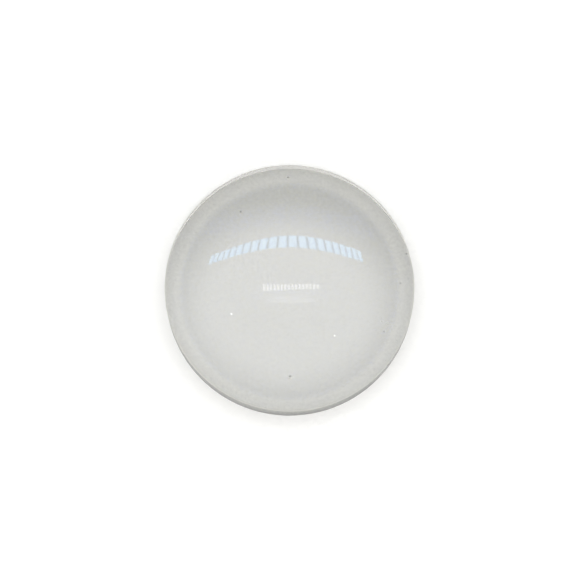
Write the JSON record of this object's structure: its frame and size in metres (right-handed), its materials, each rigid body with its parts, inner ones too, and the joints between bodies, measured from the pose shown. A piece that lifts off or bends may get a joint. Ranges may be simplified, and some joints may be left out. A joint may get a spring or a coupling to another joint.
{
  "type": "watch crystal",
  "caption": "Clear thick round watch crystal with a low dome, a straight rim for pressing into a bezel, and a shallow polished hollow underneath",
  "frame": {"origin": "centre of the flat seat ring under the rim, on the surface that the crystal rests on", "axes": "+Z is the crystal's axis, out through the top of the dome; it is round, so +X and +Y are any two square directions across it"},
  "size_m": [0.03, 0.03, 0.006],
  "materials": {
    "crystal_glass": "clear polished"
  },
  "bodies": {
    "root": {"crystal": "crystal_glass"}
  },
  "joints": []
}
